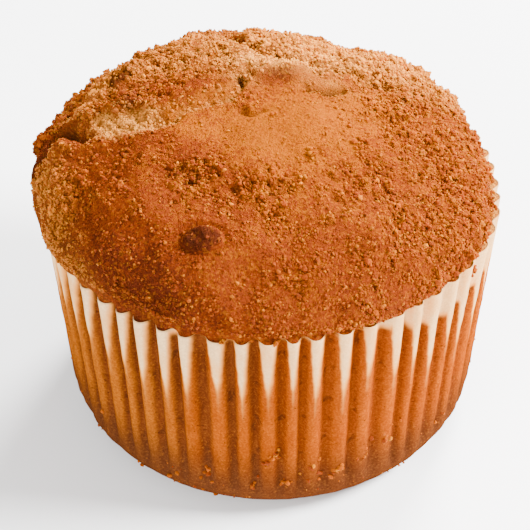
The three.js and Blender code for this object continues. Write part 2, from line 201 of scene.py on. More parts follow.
# Share of each colour among the crumbs of a piece.
GRAIN_SHADES = ((0.42, TAN), (0.13, LIGHT), (0.37, RUST), (0.08, BROWN_CRUMB))
TORN_SHADES = ((0.35, PALE), (0.35, PALE_SHADE), (0.22, TAN), (0.08, LIGHT))
STREUSEL_SHADES = ((0.44, TAN), (0.08, LIGHT), (0.38, RUST), (0.10, BROWN_CRUMB))
PAPER_CRUMB_SHADES = ((0.58, TAN), (0.08, LIGHT), (0.34, RUST))

# Floor and light. Each lamp has a name, a place, what it points at, a width and a power.
FLOOR_HALF = 3000.0
SKY_STRENGTH = 1.15
LAMPS = [
    ("key", (400, -40, 380), (0, 0, 40), 200, 16.0),
    ("back", (200, 420, 380), (0, 0, 40), 220, 14.0),
    ("fill", (-260, -460, 300), (0, 0, 30), 420, 5.0),
]

# Camera. Its optical axis meets the picture at AXIS, counted from the picture's top left corner.
PICTURE = 530
FOCAL_LENGTH = 2886.6 / PICTURE  # in widths of the picture
AXIS = (271.507, 285.092)
SENSOR = 36.0
CAMERA_HEIGHT = 42.057  # degrees above the horizon
CAMERA_DISTANCE = 494.0


# Plain maths

def ramp(a, b, x):
    """Smooth step from 0 to 1 as x goes from a to b."""
    t = np.clip((x - a) / (b - a), 0.0, 1.0)
    return t * t * (3.0 - 2.0 * t)


def spot(x, y, centre_x, centre_y, size_x, size_y=None, turn=0.0):
    """A soft round patch, 1 in its middle."""
    size_y = size_y or size_x
    c, s = math.cos(math.radians(turn)), math.sin(math.radians(turn))
    u = (x - centre_x) * c + (y - centre_y) * s
    v = (y - centre_y) * c - (x - centre_x) * s
    return np.exp(-((u / size_x) ** 2) - (v / size_y) ** 2)


def add_patches(value, x, y, patches):
    """The value with soft patches added, each given as its strength and its place."""
    for strength, place in patches:
        value = value + strength * spot(x, y, *place)
    return value


def towards(angle, degrees):
    """1 in one direction, -1 in the opposite one."""
    return np.cos(angle - math.radians(degrees))


def swell(angle, height, degrees, power):
    """A smooth swell towards one direction."""
    return height * np.maximum(0, towards(angle, degrees)) ** power


def line_distance(line, x, y):
    """Distance to an open line, 1 or -1 for its left or right side, and the share of the way along it."""
    best = np.full(x.shape, np.inf)
    side = np.ones(x.shape)
    along = np.zeros(x.shape)
    run = 0.0
    for (ax, ay), (bx, by) in zip(line, line[1:]):
        dx, dy = bx - ax, by - ay
        length = math.hypot(dx, dy)
        t = np.clip(((x - ax) * dx + (y - ay) * dy) / length**2, 0.0, 1.0)
        d = np.hypot(x - ax - t * dx, y - ay - t * dy)
        nearer = d < best
        best = np.where(nearer, d, best)
        side = np.where(nearer, np.where(dx * (y - ay) - dy * (x - ax) >= 0, 1.0, -1.0), side)
        along = np.where(nearer, run + t * length, along)
        run += length
    return best, side, along / run


HASH = np.random.default_rng(5).permutation(256)
SLOPES = np.random.default_rng(6).normal(size=(256, 3))
SLOPES /= np.linalg.norm(SLOPES, axis=1)[:, None]


def hashed(cell):
    """A repeatable number from 0 to 255 for each whole-number cell."""
    first = HASH[cell[:, 0] & 255]
    second = HASH[(first + cell[:, 1]) & 255]
    return HASH[(second + cell[:, 2]) & 255]


def noise(points, size, seed=0.0):
    """Smooth noise, about -1 to 1, with lumps of the given size."""
    p = points / size + seed * 17.3
    cell = np.floor(p).astype(int)
    f = p - cell
    u = f * f * f * (f * (f * 6 - 15) + 10)
    total = np.zeros(len(p))
    for corner in np.ndindex(2, 2, 2):
        offset = np.array(corner)
        weight = np.prod(np.where(offset == 1, u, 1 - u), axis=1)
        total += weight * np.sum(SLOPES[hashed(cell + offset)] * (f - offset), axis=1)
    return total * 1.7


def cells(points, size, seed=0.0):
    """Distance to the nearest of scattered points, as a share of their spacing, and a number per cell."""
    p = points / size + seed * 11.7
    cell = np.floor(p).astype(int)
    best = np.full(len(p), np.inf)
    label = np.zeros(len(p))
    for corner in np.ndindex(3, 3, 3):
        at = cell + np.array(corner) - 1
        h = hashed(at)
        spread = np.stack([h, HASH[h], HASH[HASH[h]]], axis=1) / 255.0
        d = np.linalg.norm(p - at - spread, axis=1)
        nearer = d < best
        best = np.where(nearer, d, best)
        label = np.where(nearer, h / 255.0, label)
    return best, label


# Meshes

def make_mesh(name, points, faces, colours=None, smooth=True):
    """A mesh object from millimetre points. colours is {name: an array of red, green, blue, alpha}."""
    mesh = bpy.data.meshes.new(name)
    mesh.from_pydata((np.asarray(points) * MM).tolist(), [], [list(map(int, face)) for face in faces])
    for key, values in (colours or {}).items():
        layer = mesh.attributes.new(key, "FLOAT_COLOR", "POINT")
        layer.data.foreach_set("color", np.ascontiguousarray(values, dtype=np.float32).ravel())
    mesh.polygons.foreach_set("use_smooth", np.full(len(mesh.polygons), smooth))
    mesh.update()
    made = bpy.data.objects.new(name, mesh)
    bpy.context.scene.collection.objects.link(made)
    return made


def around(angle, radius, height):
    """Points round the upright axis."""
    return np.stack([radius * np.cos(angle), radius * np.sin(angle), height], axis=1)


def ring_faces(first, second, count):
    """Quads between two rings of points that start at these indices."""
    i = np.arange(count)
    j = (i + 1) % count
    return np.stack([first + i, second + i, second + j, first + j], axis=1)


# Form of the paper case

def rim_height(angle):
    return RIM_HEIGHT + RIM_TILT * np.cos(angle) - swell(angle, *RIM_DIP)


def flute_turn(angle):
    """How many flutes lie between the ridge at the front and an angle. They are slightly uneven."""
    even = (np.degrees(angle) - 270.0 - FLUTE_TURN) / (360.0 / FLUTES)
    wander = 0.10 * np.sin(angle * 9 + 1.0) + 0.06 * np.sin(angle * 23 + 2.0)
    return even + wander


def flute_phase(angle):
    """Place across a flute: 0 in the middle of a ridge, 0.5 or -0.5 in the middle of a valley."""
    turn = flute_turn(angle)
    return turn - np.round(turn)


def flute_valley(angle):
    """1 in the middle of a valley and 0 on a ridge. The ridges are broader than the valleys."""
    return (0.5 - 0.5 * np.cos(2 * np.pi * flute_phase(angle))) ** 1.6


def case_radius(angle, height, inset=0.0):
    """Radius of the case's outside, moved in by inset, between the rounded foot and the rim."""
    share = height / rim_height(angle)
    flare = sum(swell(angle, *each) for each in RIM_FLARES)
    plain = FOOT_RADIUS + (RIM_RADIUS + flare * share**2 - FOOT_RADIUS) * share
    depth_rim = FLUTE_DEPTH_RIM * (1 - swell(angle, *FLUTE_FADE))
    depth = FLUTE_DEPTH_FOOT + (depth_rim - FLUTE_DEPTH_FOOT) * share
    return plain - depth * flute_valley(angle) - inset


def case_point(angle, t, inset=0.0):
    """Radius and height on the case: t is 0 at the base's edge, 1 where the side starts, 2 at the rim."""
    turn = -np.pi / 2 + np.clip(t, 0, 1) * (np.pi / 2 - CASE_LEAN)
    centre = FOOT_RADIUS + EDGE_ROUND * math.tan(CASE_LEAN) - EDGE_ROUND / math.cos(CASE_LEAN)
    low_radius = centre + (EDGE_ROUND - inset) * np.cos(turn)
    low_height = EDGE_ROUND + (EDGE_ROUND - inset) * np.sin(turn)
    low_radius = low_radius - FLUTE_DEPTH_FOOT * flute_valley(angle) * np.clip(t, 0, 1) ** 5
    side_height = SIDE_START + np.clip(t - 1, 0, 1) * (rim_height(angle) - SIDE_START)
    side_radius = case_radius(angle, side_height, inset)
    on_side = t > 1
    return np.where(on_side, side_radius, low_radius), np.where(on_side, side_height, low_height)


# Form of the crown

def crown_edge(angle):
    """Radius and height of the crown's widest ring."""
    radius = CROWN_RADIUS + sum(swell(angle, *each) for each in CROWN_BULGES)
    height = CROWN_BASE + 0.3 * np.cos(angle) - 0.25 * np.sin(angle)
    for each in CROWN_EDGE_SWELLS:
        height = height + swell(angle, *each)
    return radius, height


def dome(arc, angle, stand=0.0):
    """A point of the plain dome, moved out along its normal by stand."""
    lift = (math.pi / 2) * (1 - arc / CROWN_ARC)
    radius, base = crown_edge(angle)
    out, up = np.cos(lift), np.sin(lift)
    tall = CROWN_RISE + (CROWN_BASE - base) * up
    nx, nz = out / radius, up / CROWN_RISE
    size = np.hypot(nx, nz)
    reach = radius * out + stand * nx / size
    return np.stack([
        CENTRE_X + reach * np.cos(angle),
        CENTRE_Y + reach * np.sin(angle),
        base + tall * up + stand * nz / size,
    ], axis=-1)


def broad_lumps(x, y, p):
    """The crown's gentle unevenness."""
    height = 0.14 * noise(p, 3.6, 7)
    for size, wave, direction, phase in LUMPS:
        turn = math.radians(direction)
        run = x * math.cos(turn) + y * math.sin(turn)
        height = height + size * np.sin(run / wave * 2 * math.pi + phase)
    return height


def crack_fields(x, y, p):
    """How far a place lies behind the big crack's foot and its lip, and how open the crack is there."""
    wobble_x = x + 0.55 * noise(p, 2.6, 1) + 0.25 * noise(p, 1.1, 2)
    wobble_y = y + 0.55 * noise(p, 2.6, 3) + 0.25 * noise(p, 1.1, 4)
    foot, foot_side, along = line_distance(CRACK_FOOT, wobble_x, wobble_y)
    lip, lip_side, _ = line_distance(CRACK_LIP, wobble_x, wobble_y)
    return foot * foot_side, lip * lip_side, 1 - ramp(0.955, 1.0, along)


def big_crack(x, y, p):
    """Heights of the big crack's floor, slope, flap, sunk front and lip, and the masks of its parts."""
    foot, lip, opened = crack_fields(x, y, p)
    inside = ramp(0.0, 0.5, foot) * ramp(0.0, 0.5, -lip) * opened
    across = np.clip(foot / np.maximum(foot - lip, 0.2), 0.0, 1.0)
    behind = ramp(-0.5, 0.35, lip) * opened

    # From left to right: the cave, the stretch under the flap, the pale floor and the steep wall.
    cave = ramp(-27.0, -34.0, x)
    under_flap = ramp(-30.5, -27.5, x) * ramp(-20.5, -23.5, x)
    wall = ramp(-15.5, -12.0, x)
    pale_floor = ramp(-24, -21, x) * (1 - wall)

    floor = -CRACK_DEPTH * inside - FOOT_STEP * ramp(0.0, 0.22, across) * inside
    floor = floor - CAVE_DEPTH * cave * inside * ramp(0.1, 0.6, across)
    steep = (WALL_RISE * wall + UNDER_FLAP_RISE * under_flap) * across**1.3
    slope = (steep + PALE_FLOOR_RISE * pale_floor * across) * inside
    rise = FLAP_RISE_LEFT + FLAP_RISE_MORE * ramp(-30, -17, x)
    flap = rise * np.exp(-np.maximum(lip, 0) / FLAP_FADE) * behind
    sunk = -SUNK_DEPTH * np.exp(-np.maximum(-foot, 0) / SUNK_FADE) * (1 - ramp(0.0, 0.6, foot)) * opened
    sunk = sunk * (1 - ramp(-25, -31, x))
    front_lip = FRONT_LIP * np.exp(-((foot + 0.9) / 1.1) ** 2) * opened * ramp(-45, -30, x)
    masks = {
        "inside": inside,
        "across": across,
        "wall": wall,
        "cave": cave * inside,
        "torn": np.maximum(inside, 0.6 * np.exp(-((lip / 1.2) ** 2)) * opened),
        "crust_edge": ramp(0.0, 0.5, lip) * np.exp(-np.maximum(lip, 0) / 2.5) * opened * ramp(-27, -22, x),
    }
    return (floor, slope, flap, sunk, front_lip), masks


def narrow_cracks(height, x, y, p):
    """The height with the narrow cracks cut in, and a mask of them."""
    grooves = np.zeros(x.shape)
    for seed, (line, width, depth) in enumerate(NARROW_CRACKS, 1):
        wobble_x = x + 0.7 * noise(p, 2.2, 10 + seed)
        wobble_y = y + 0.7 * noise(p, 2.2, 20 + seed)
        distance, _, along = line_distance(line, wobble_x, wobble_y)
        ends = ramp(0, 0.1, along) * ramp(0, 0.1, 1 - along)
        groove = np.exp(-((distance / width) ** 2)) * (0.35 + 0.65 * ends)
        grooves = np.maximum(grooves, groove)
        height = height - depth * groove
    return height, grooves


def crumbly_skin(p):
    """Clumps of stuck grains, as a height of about -1 to 1."""
    bumps, label = cells(p, 1.15, 1)
    fine, _ = cells(p, 0.62, 2)
    clump = ramp(-0.15, 0.45, noise(p, 2.1, 17)) * 0.75 + ramp(-0.1, 0.4, noise(p, 1.05, 18)) * 0.4
    return clump - 0.5 + (0.55 - bumps) * (0.5 + label) * 0.35 + (0.5 - fine) * 0.25


def relief(x, y, p):
    """How far the crust stands out from the plain dome, with the colour masks of that place."""
    height = broad_lumps(x, y, p)
    crack, masks = big_crack(x, y, p)
    for part in crack:
        height = height + part
    inside = masks["inside"]
    height, masks["groove"] = narrow_cracks(height, x, y, p)

    height = add_patches(height, x, y, BUMP_AND_NOTCH)
    hollows = add_patches(np.zeros(x.shape), x, y, HOLLOWS)
    height = add_patches(height - hollows, x, y, BROAD_FORMS)
    height = height + 0.7 * spot(x, y, *FOOT_LUMP) * (1 - inside)

    # The dark chip with a ditch round it, and the two dark lumps on the flap.
    chip = spot(x, y, *CHIP)
    lumps = add_patches(0.0, x, y, BROWN_LUMPS)
    ditch = 0.5 * np.exp(-(((chip - 0.2) / 0.08) ** 2))
    height = height + ramp(0.25, 0.6, chip) * (0.95 + 0.4 * noise(p, 1.2, 31)) - ditch
    height = height + ramp(0.25, 0.8, lumps) * (0.8 + 0.4 * noise(p, 1.3, 32))

    # Crumbly and smooth crust, and torn crumb in the big crack.
    cover = crumb_cover(x, y, p) * (1 - inside)
    grain = crumbly_skin(p)
    height = height + cover * (grain - 0.1)
    height = height + (1 - cover) * (1 - inside) * (0.10 * noise(p, 1.1, 8) + 0.035 * noise(p, 0.8, 34))
    torn = 0.70 * noise(p, 2.4, 9) + 0.55 * noise(p, 1.3, 10) + 0.28 * noise(p, 0.65, 11)
    height = height + masks["torn"] * torn * (1 - 0.7 * masks["wall"])

    masks["cover"] = cover
    masks["grain"] = np.clip(0.5 + grain * 0.9, 0, 1)
    masks["hollow"] = np.clip(hollows, 0, 1)
    masks["chips"] = ramp(0.2, 0.6, chip) + 0.95 * ramp(0.2, 0.5, lumps)
    return height, masks


def crumb_cover(x, y, p):
    """How thickly crumbs lie on the crust, from 0 to 1."""
    right = ramp(9, 18, x + 0.25 * y) * ramp(-34, -20, y)
    back = ramp(4, 9, y - 0.12 * x - 2.5 * ramp(0, 8, x))
    want = add_patches(0.42 + 0.20 * right + 0.26 * back, x, y, COVER_PATCHES)
    patch = 0.18 * noise(p, 6.0, 12) + 0.26 * noise(p, 2.6, 13) + 0.18 * noise(p, 1.3, 16)
    return ramp(0.40, 0.72, want + patch)


def crown_surface(arc, angle):
    """Points of the finished crust, and the masks."""
    x, y = arc * np.cos(angle), arc * np.sin(angle)
    plain = dome(arc, angle)
    stand, masks = relief(x, y, plain)
    stand = stand * (1 - 0.55 * ramp(43.5, CROWN_ARC, arc))
    return dome(arc, angle, stand), masks, x, y


# Colours of the crown

def painted_glare_zone(x, y):
    """Where a highlight is painted on the crust: the back right, the flap and a little at the left edge."""
    right = spot(x, y, *GLARE_RIGHT) * ramp(4, 15, y)
    flap = 0.6 * spot(x, y, *GLARE_FLAP)
    left = 0.36 * ramp(-26, -38, x) * ramp(8, 0, y)
    return np.clip(right + flap + left, 0, 1)


def brown_share(x, y, p, masks):
    """How browned the crust is: more towards the edge and the left, less on the smooth top, and browner in
    the cave as painted shadow.
    """
    edge = ramp(24, 44, np.hypot(x, y))
    left = ramp(16, -12, x)
    brown = 0.34 + (0.04 + 0.26 * left) * edge
    brown = brown + 0.16 * noise(p, 9, 14) + 0.10 * noise(p, 3, 15) + 0.10 * noise(p, 1.5, 38)
    brown = add_patches(brown, x, y, BROWN_PATCHES)
    # Painted shadow: the crust is browner in the cave under the flap.
    brown = brown - 0.12 * masks["inside"] * masks["wall"] + 0.5 * masks["cave"]
    return brown + 0.28 * masks["crust_edge"] + 0.9 * masks["chips"]


def pale_share(x, y, p, masks):
    """How pale it is: inside the big crack and along the other cracks, with a painted highlight where the
    light glances off.
    """
    on_wall = masks["wall"] * ramp(0.08, 0.5, masks["across"] + 0.2 * noise(p, 1.8, 19))
    pale = masks["inside"] * (1 - 0.92 * on_wall)
    pale = 0.84 * pale * (1 - 0.9 * ramp(-22, -26, x + 1.5 * noise(p, 2.5, 37)))
    pale = add_patches(pale, x, y, PALE_AT_CRACKS)
    # Painted highlight: the crust is paler where the light glances off.
    pale = pale * (1 - 0.6 * spot(x, y, *BROWN_ON_BUMP)) + 0.38 * painted_glare_zone(x, y)
    return add_patches(pale, x, y, PALE_BEHIND)


def shade_and_chip_share(p, masks):
    """Painted shade in hollows and cracks, in the cave, along the big crack's foot and under its lip, and the
    chips' own dark colour.
    """
    across, inside = masks["across"], masks["inside"]
    dark = masks["hollow"] + 0.55 * masks["groove"] + 0.75 * masks["cave"] * ramp(0.2, 0.8, across)
    # Painted shadow along the foot of the big crack.
    dark = dark + 0.5 * inside * ramp(0.22, 0.03, across)
    # Painted shade under the lip of the flap.
    dark = dark + 0.25 * inside * ramp(0.8, 0.97, across) * (1 - masks["wall"])
    return dark + 0.62 * masks["chips"] * (0.8 + 0.6 * noise(p, 0.9, 33))


def crust_colours(x, y, p, masks):
    """Two colours per point: browned, pale with a painted highlight, crumbly, and dark with painted shade;
    then how high the grain stands, in red, from which the shader paints highlight and shade.
    """
    brown, pale = brown_share(x, y, p, masks), pale_share(x, y, p, masks)
    tone = np.stack([brown, pale, masks["cover"], shade_and_chip_share(p, masks)], axis=1)
    nothing = np.zeros(len(x))
    grain = np.stack([masks["grain"], nothing, nothing, nothing + 1], axis=1)
    return np.clip(tone, 0, 1), grain


# Cake

def crown_grid():
    """Arcs and angles of the crown's points, ring by ring from the top, and the triangles between them."""
    arcs, angles = [0.0], [0.0]
    for k in range(1, CROWN_RINGS + 1):
        count = 6 * k
        arcs.extend([CROWN_ARC * k / CROWN_RINGS] * count)
        angles.extend(2 * math.pi * np.arange(count) / count)
    faces = [(1 + i, 1 + (i + 1) % 6, 0) for i in range(6)]
    start = 1
    for k in range(2, CROWN_RINGS + 1):
        inner, outer = start, start + 6 * (k - 1)
        inner_count, outer_count = 6 * (k - 1), 6 * k
        for sector in range(6):
            for i in range(k):
                a = outer + sector * k + i
                b = outer + (sector * k + i + 1) % outer_count
                c = inner + (sector * (k - 1) + i) % inner_count
                faces.append((a, b, c))
                if i < k - 1:
                    faces.append((b, inner + (sector * (k - 1) + i + 1) % inner_count, c))
        start = outer
    return np.array(arcs), np.array(angles), faces


def body_rings(edge, edge_angle):
    """Rings from the crown's edge in to the paper and down inside it, and where that fill is painted pale, as
    light in the shaded gap by the paper.
    """
    edge_radius = np.hypot(edge[:, 0], edge[:, 1])
    top = rim_height(edge_angle)
    inset = PAPER + CASE_GAP
    case_in = case_radius(edge_angle, top, inset)
    over = ramp(-0.2, 0.4, edge_radius - case_in)
    gap_inside = np.maximum(case_in - edge_radius, 0)
    seat = top - 0.35 + over * 0.5 + 0.25 * ramp(0.2, 0.8, gap_inside)
    # Painted light: the fill in the narrow gap at the right is made pale where it lies in shade.
    bare = 0.95 * ramp(0.1, 0.6, gap_inside) * ramp(0.75, 0.93, np.cos(edge_angle))
    rings = []
    for share in (0.15, 0.4, 0.7, 0.9, 1.0):
        radius = edge_radius + (case_in - edge_radius) * share**2.2
        height = edge[:, 2] + (seat - edge[:, 2]) * (1 - (1 - share) ** 2.0)
        rings.append((radius, height))
    for height in BODY_LEVELS:
        level = np.minimum(height, np.minimum(top - 1.5, seat - 0.8))
        rings.append((case_radius(edge_angle, level, inset), level))
    for t in (0.66, 0.33, 0.0):
        rings.append(case_point(edge_angle, np.full(len(edge), t), inset))
    return rings, bare


def make_cake():
    """The whole cake: the crown, its edge on the rim and the plain body inside the case."""
    arc, angle, faces = crown_grid()
    points, masks, x, y = crown_surface(arc, angle)
    tone, grain = crust_colours(x, y, points, masks)
    count = 6 * CROWN_RINGS
    edge = points[-count:]
    edge_angle = np.arctan2(edge[:, 1], edge[:, 0])
    rings, bare = body_rings(edge, edge_angle)
    edge_grain = grain[-count:]
    edge_tone = tone[-count:].copy()
    # Painted light: in the gap by the paper the fill is pale, with no crumbs and no painted shade.
    edge_tone[:, 1] = np.maximum(edge_tone[:, 1], bare)
    edge_tone[:, 2:] *= (1 - bare)[:, None]
    body = [around(edge_angle, radius, height) for radius, height in rings]
    last = len(points) - count
    for _ in rings:
        faces.extend(ring_faces(last, last + count, count).tolist())
        last += count
    faces.extend([(last + (i + 1) % count, last + i, last + count) for i in range(count)])
    points = np.vstack([points, *body, [[0, 0, PAPER + CASE_GAP]]])
    tone = np.vstack([tone, *[edge_tone] * len(rings), edge_tone[-1:]])
    grain = np.vstack([grain, *[edge_grain] * len(rings), edge_grain[-1:]])
    return make_mesh("cake_visual", points, faces, {"tone": tone, "grain": grain})


def flake_point(along, across, layer):
    """A point of one face: along goes from the upper end to the tip, across from -0.5 to 0.5."""
    half = (1.1 + 0.9 * math.sin(math.pi * min(1.0, along * 1.15))) * (1 - 0.55 * along**3)
    x = FLAKE_TOP[0] - 1.0 * math.sin(math.pi * along**0.9 * 0.9) + across * half * 1.2
    y = FLAKE_TOP[1] - FLAKE_FORWARDS * along + 0.4 * math.sin(along * 9) + across * half * 1.3
    z = FLAKE_TOP[2] - FLAKE_DOWN * along + across * half * 1.5
    return x + FLAKE_HALF * (2 * layer - 1), y, z


def make_flake():
    """A thin dark flake of crust that stands off the left edge of the crown."""
    rows, columns = FLAKE_ROWS, FLAKE_COLUMNS
    points, tone, faces = [], [], []
    for layer in (0, 1):
        for i in range(rows):
            along = i / (rows - 1)
            for j in range(columns):
                points.append(flake_point(along, j / (columns - 1) - 0.5, layer))
                tone.append((0.95, 0.0, 0.25, 0.25 + 0.3 * along))
    points = np.array(points)
    points = points + 0.16 * np.stack([noise(points, 1.1, seed) for seed in (41, 42, 43)], axis=1)
    size = rows * columns
    grid = np.arange(size).reshape(rows, columns)
    for a, b in zip(grid[:-1, :-1].flat, grid[1:, :-1].flat):
        faces.append((a, b, b + 1, a + 1))
        faces.append((size + a, size + a + 1, size + b + 1, size + b))
    border = [*grid[0], *grid[1:, -1], *grid[-1, -2::-1], *grid[-2:0:-1, 0]]
    for a, b in zip(border, border[1:] + border[:1]):
        faces.append((a, b, size + b, size + a))
    grain = np.tile([0.4, 0.0, 0.0, 1.0], (len(points), 1))
    return make_mesh("crust_flake", points, faces, {"tone": np.array(tone), "grain": grain})


# Paper case

def crumple(ring, angle, t):
    """A ring of the case pushed in and out slightly, most of all round the foot."""
    push = 0.10 * noise(ring, 7.0, 21) + 0.05 * noise(ring, 2.5, 22)
    push = push + 0.35 * noise(ring, 6.5, 26) * math.exp(-(((t - 0.75) / 0.3) ** 2))
    ring[:, 0] += push * np.cos(angle) * min(1.0, t)
    ring[:, 1] += push * np.sin(angle) * min(1.0, t)


def make_case():
    """The fluted paper case: outside, rim and inside."""
    count = FLUTES * CASE_POINTS_PER_FLUTE
    angle = 2 * np.pi * np.arange(count) / count
    outside = list(np.linspace(0.0, 1.0, 12)) + list(1 + np.linspace(0, 1, 58)[1:])
    inside = list(2 - np.linspace(0, 0.35, 14)) + [1.4, 1.0, 0.6, 0.3, 0.0]
    points, tone = [np.zeros((1, 3))], [np.zeros((1, 4))]
    for inner, rows in ((False, outside), (True, inside)):
        for t in rows:
            ring = around(angle, *case_point(angle, np.full(count, t), PAPER if inner else 0.0))
            if t < 2:
                crumple(ring, angle, t)
            points.append(ring)
            tone.append(paper_tone(angle, ring, inner))
    points.append(np.array([[0.0, 0.0, PAPER]]))
    tone.append(np.zeros((1, 4)))
    faces = [(1 + (i + 1) % count, 1 + i, 0) for i in range(count)]
    last = 1
    for _ in range(len(outside) + len(inside) - 1):
        faces.extend(ring_faces(last + count, last, count).tolist())
        last += count
    faces.extend([(last + i, last + (i + 1) % count, last + count) for i in range(count)])
    return make_mesh("paper_case_visual", np.vstack(points), faces, {"tone": np.vstack(tone)})


def paper_tone(angle, ring, inner):
    """Per point: how dry the paper is, how far on a ridge, its share of the height, how warm its orange."""
    phase = flute_phase(angle)
    number = np.round(flute_turn(angle)).astype(int) % FLUTES
    draw = np.random.default_rng(12).random((FLUTES, 3))[number]
    below = rim_height(angle) - ring[:, 2]
    right = ramp(0.55, 0.9, towards(angle, -12))
    left = ramp(0.3, 0.9, towards(angle, 205))

    # Each ridge has a white tongue that hangs from the rim and narrows downwards.
    length = TONGUE_LENGTH + 5.0 * draw[:, 0] + 3.0 * right
    width = TONGUE_WIDTH + 0.04 * draw[:, 1] + 0.12 * right + 0.05 * left
    centre = (draw[:, 2] - 0.5) * 0.06
    share = np.clip(1 - below / length, 0, 1)
    wobble = 0.025 * noise(ring, 1.6, 23) + 0.015 * noise(ring, 0.7, 24)
    tail = 0.035 * ramp(length + 5, length - 2, below)
    limit = np.maximum(width * share**0.95, tail)
    soft = 0.05 + 0.05 * (1 - share) + 0.10 * ramp(-0.06, 0.10, phase - centre)
    dry = ramp(soft, -soft, np.abs(phase - centre) + wobble - limit)
    dry = dry * (0.35 + 0.65 * ramp(0.0, 0.45, share + 0.4 * wobble)) * ramp(length + 5, length, below)

    # At the right the paper is white all round for a few millimetres, and inside the rim everywhere.
    all_round = ramp(-1.0, 1.8, 8.0 * right - below + 1.8 * noise(ring, 4, 25))
    dry = np.maximum(dry, all_round)
    if inner:
        dry = np.maximum(dry, ramp(6, 3, below))
    ridge = 0.5 + 0.5 * np.cos(2 * np.pi * phase)
    warm = ramp(-0.35, 0.75, towards(angle, -20))
    return np.stack([dry, ridge, ring[:, 2] / RIM_HEIGHT, warm], axis=1)


# Crumbs

def icosahedron():
    """Corners and faces of a unit icosahedron."""
    golden_ratio = (1 + math.sqrt(5)) / 2
    corners = []
    for a in (-1, 1):
        for b in (-golden_ratio, golden_ratio):
            corners += [(a, b, 0), (0, a, b), (b, 0, a)]
    corners = np.array(corners, dtype=float)
    corners /= np.linalg.norm(corners[0])
    faces = []
    edge = np.min(np.linalg.norm(corners[1:] - corners[0], axis=1)) * 1.01
    for i in range(12):
        for j in range(i + 1, 12):
            for k in range(j + 1, 12):
                pairs = ((i, j), (j, k), (i, k))
                if all(np.linalg.norm(corners[a] - corners[b]) < edge for a, b in pairs):
                    normal = np.cross(corners[j] - corners[i], corners[k] - corners[i])
                    faces.append((i, j, k) if normal @ corners[i] > 0 else (i, k, j))
    return corners, np.array(faces)


def octahedron():
    """Corners and faces of a unit octahedron."""
    corners = np.array([(1, 0, 0), (-1, 0, 0), (0, 1, 0), (0, -1, 0), (0, 0, 1), (0, 0, -1)], dtype=float)
    faces = [(0, 2, 4), (2, 1, 4), (1, 3, 4), (3, 0, 4), (2, 0, 5), (1, 2, 5), (3, 1, 5), (0, 3, 5)]
    return corners, np.array(faces)


# Forms that crumbs are broken from, and how far their corners are moved in or out.
GRAIN = (octahedron, 0.5)
CRUMB = (icosahedron, 0.6)


def in_crack(x, y):
    """1 between the foot and the lip of the big crack, where the cake is bare."""
    foot, foot_side, _ = line_distance(CRACK_FOOT, x, y)
    lip, lip_side, _ = line_distance(CRACK_LIP, x, y)
    between = ramp(-0.8, 0.0, foot * foot_side) * ramp(-0.6, 0.2, -lip * lip_side)
    return between * ramp(-31, -26, x)


def grain_weight(x, y, p):
    """Where fine grains lie: on crumbly crust, thinly elsewhere, hardly on the chip and the flap."""
    thin = 0.05 + 0.30 * ramp(0.0, 0.55, noise(p, 2.2, 35) + 0.5 * noise(p, 6.0, 36))
    thin = thin * (1 - 0.8 * spot(x, y, *SMOOTH_TOP)) * (1 - in_crack(x, y))
    lumps = add_patches(0.0, x, y, BROWN_LUMPS)
    dark_lumps = np.clip(spot(x, y, *CHIP_WITHOUT_GRAINS) + 1.2 * lumps, 0, 1)
    edge = (0.08 + 0.40 * ramp(-8, 14, x)) * ramp(42.5, 45.0, np.hypot(x, y))
    share = np.clip(thin + edge + (1 - thin) * crumb_cover(x, y, p), 0, 1)
    return share * (1 - 0.75 * dark_lumps) * (1 - 0.65 * spot(x, y, *FLAP_TOP))


def clump_weight(x, y, p):
    """Where clumps lie: in patches of the crumbly crust."""
    patch = ramp(0.0, 0.5, noise(p, 3.0, 30))
    lumps = np.clip(add_patches(0.0, x, y, BROWN_LUMPS), 0, 1)
    return crumb_cover(x, y, p) * (0.2 + 0.8 * patch) * (1 - in_crack(x, y)) * (1 - lumps)


def torn_weight(x, y, p):
    """Where pale torn crumb lies: in the big crack and along the second crack."""
    wall = ramp(-17, -12, x)
    return in_crack(x, y) * ramp(-27, -22, x) * (1 - 0.85 * wall) + 0.35 * spot(x, y, *ARC_RIDGE)


def scatter(count, weight, seed):
    """Places on the crown drawn with a weight from 0 to 1, as arcs and angles."""
    draw = np.random.default_rng(seed)
    arcs, angles = np.zeros(0), np.zeros(0)
    while len(arcs) < count:
        tries = 4 * count
        arc = CROWN_ARC * 0.99 * np.sqrt(draw.random(tries))
        angle = 2 * np.pi * draw.random(tries)
        x, y = arc * np.cos(angle), arc * np.sin(angle)
        keep = draw.random(tries) < weight(x, y, dome(arc, angle))
        arcs = np.concatenate([arcs, arc[keep]])
        angles = np.concatenate([angles, angle[keep]])
    return arcs[:count], angles[:count]


def unit(vectors):
    return vectors / np.maximum(np.linalg.norm(vectors, axis=1)[:, None], 1e-9)


def crust_normal(arc, angle, at):
    """Directions that lean from the dome's normal towards the rough crust's own."""
    step, rough_step = 0.5, 0.25
    plain = dome(arc, angle)
    plain_down = dome(arc + step, angle) - plain
    plain_side = dome(arc, angle + step / np.maximum(arc, 1)) - plain
    side, _, _, _ = crown_surface(arc, angle + rough_step / np.maximum(arc, 1.0))
    down, _, _, _ = crown_surface(arc + rough_step, angle)
    return unit(unit(np.cross(plain_down, plain_side)) + 0.5 * unit(np.cross(down - at, side - at)))


